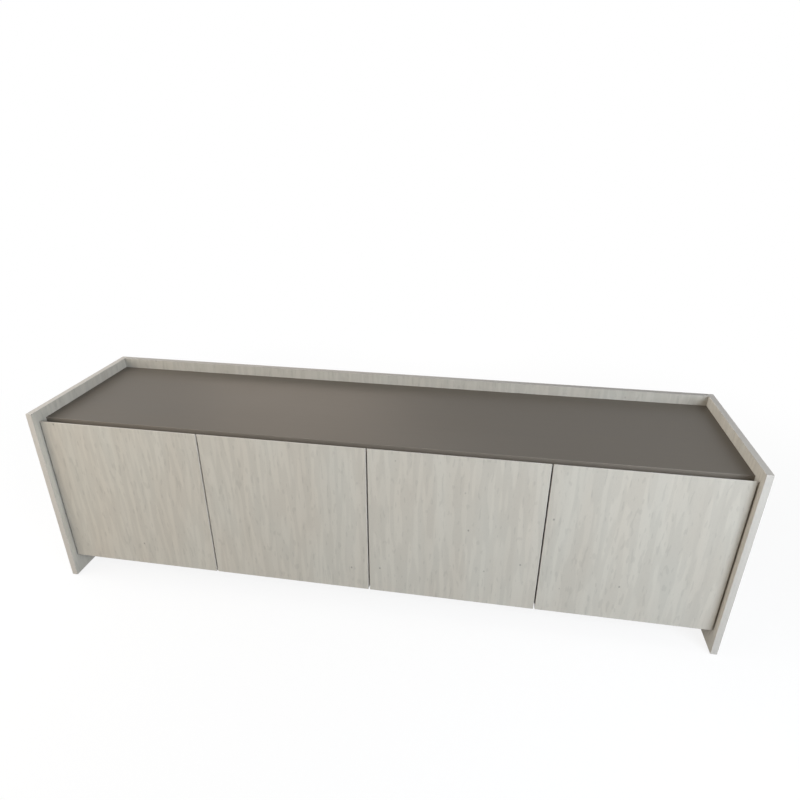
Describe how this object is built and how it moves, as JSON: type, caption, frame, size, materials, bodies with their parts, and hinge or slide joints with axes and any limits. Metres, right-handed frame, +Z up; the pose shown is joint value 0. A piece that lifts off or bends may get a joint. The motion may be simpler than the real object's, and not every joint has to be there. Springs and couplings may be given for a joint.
{
  "type": "television cabinet",
  "caption": "Long low television cabinet with flush handle-less doors on concealed hinges, a recessed top between raised sides and upstand, shelves and cable holes.",
  "frame": {"origin": "on the floor under the middle of the cabinet", "axes": "+X to the right along the cabinet's length, seen from the front; the doors face -Y; +Z up"},
  "size_m": [2, 0.495, 0.588],
  "materials": {
    "whitewashed_wood": "pale whitewashed wood-grain laminate, matt, vertical grain",
    "taupe_laminate": "matt taupe laminate with a soft sheen",
    "carcass_white": "pale melamine inside the cabinet",
    "hardboard": "thin painted hardboard",
    "nickel_steel": "nickel-plated steel",
    "zinc": "zinc-plated steel",
    "grey_plastic": "moulded grey plastic",
    "black_plastic": "moulded black plastic"
  },
  "bodies": {
    "cabinet": {"left_side_panel": "whitewashed_wood", "right_side_panel": "whitewashed_wood", "back_upstand": "whitewashed_wood", "top_panel": "taupe_laminate", "bottom_panel": "carcass_white", "centre_partition": "carcass_white", "left_shelf": "carcass_white", "right_shelf": "carcass_white", "left_back_panel": "hardboard", "right_back_panel": "hardboard", "left_cable_grommet": "black_plastic", "right_cable_grommet": "black_plastic", "centre_leg": "black_plastic", "left_front_glide": "grey_plastic", "left_rear_glide": "grey_plastic", "right_front_glide": "grey_plastic", "right_rear_glide": "grey_plastic", "left_magnetic_catch": "grey_plastic", "right_magnetic_catch": "grey_plastic", "left_shelf_pin_inner_front": "nickel_steel", "left_shelf_pin_inner_rear": "nickel_steel", "left_shelf_pin_outer_front": "nickel_steel", "left_shelf_pin_outer_rear": "nickel_steel", "right_shelf_pin_inner_front": "nickel_steel", "right_shelf_pin_inner_rear": "nickel_steel", "right_shelf_pin_outer_front": "nickel_steel", "right_shelf_pin_outer_rear": "nickel_steel", "left_outer_door_lower_hinge_arm": "nickel_steel", "left_outer_door_upper_hinge_arm": "nickel_steel", "left_inner_door_lower_hinge_arm": "nickel_steel", "left_inner_door_upper_hinge_arm": "nickel_steel", "right_inner_door_lower_hinge_arm": "nickel_steel", "right_inner_door_upper_hinge_arm": "nickel_steel", "right_outer_door_lower_hinge_arm": "nickel_steel", "right_outer_door_upper_hinge_arm": "nickel_steel", "left_outer_door_lower_hinge_plate": "zinc", "left_outer_door_upper_hinge_plate": "zinc", "left_inner_door_lower_hinge_plate": "zinc", "left_inner_door_upper_hinge_plate": "zinc", "right_inner_door_lower_hinge_plate": "zinc", "right_inner_door_upper_hinge_plate": "zinc", "right_outer_door_lower_hinge_plate": "zinc", "right_outer_door_upper_hinge_plate": "zinc"},
    "left_outer_door": {"left_outer_door_panel": "whitewashed_wood", "left_outer_door_lower_hinge_cup": "nickel_steel", "left_outer_door_upper_hinge_cup": "nickel_steel", "left_outer_door_strike_plate": "zinc"},
    "left_inner_door": {"left_inner_door_panel": "whitewashed_wood", "left_inner_door_lower_hinge_cup": "nickel_steel", "left_inner_door_upper_hinge_cup": "nickel_steel", "left_inner_door_strike_plate": "zinc"},
    "right_inner_door": {"right_inner_door_panel": "whitewashed_wood", "right_inner_door_lower_hinge_cup": "nickel_steel", "right_inner_door_upper_hinge_cup": "nickel_steel", "right_inner_door_strike_plate": "zinc"},
    "right_outer_door": {"right_outer_door_panel": "whitewashed_wood", "right_outer_door_lower_hinge_cup": "nickel_steel", "right_outer_door_upper_hinge_cup": "nickel_steel", "right_outer_door_strike_plate": "zinc"}
  },
  "joints": [
    {"name": "left_outer_door_hinge", "type": "hinge", "parent": "cabinet", "child": "left_outer_door", "pos_m": [-0.96797, -0.2202, 0.3135], "axis": [0, 0, -1], "range_deg": [0, 90]},
    {"name": "left_inner_door_hinge", "type": "hinge", "parent": "cabinet", "child": "left_inner_door", "pos_m": [-0.01202, -0.2202, 0.3135], "axis": [0, 0, 1], "range_deg": [0, 90]},
    {"name": "right_inner_door_hinge", "type": "hinge", "parent": "cabinet", "child": "right_inner_door", "pos_m": [0.01202, -0.2202, 0.3135], "axis": [0, 0, -1], "range_deg": [0, 90]},
    {"name": "right_outer_door_hinge", "type": "hinge", "parent": "cabinet", "child": "right_outer_door", "pos_m": [0.96797, -0.2202, 0.3135], "axis": [0, 0, 1], "range_deg": [0, 90]}
  ]
}
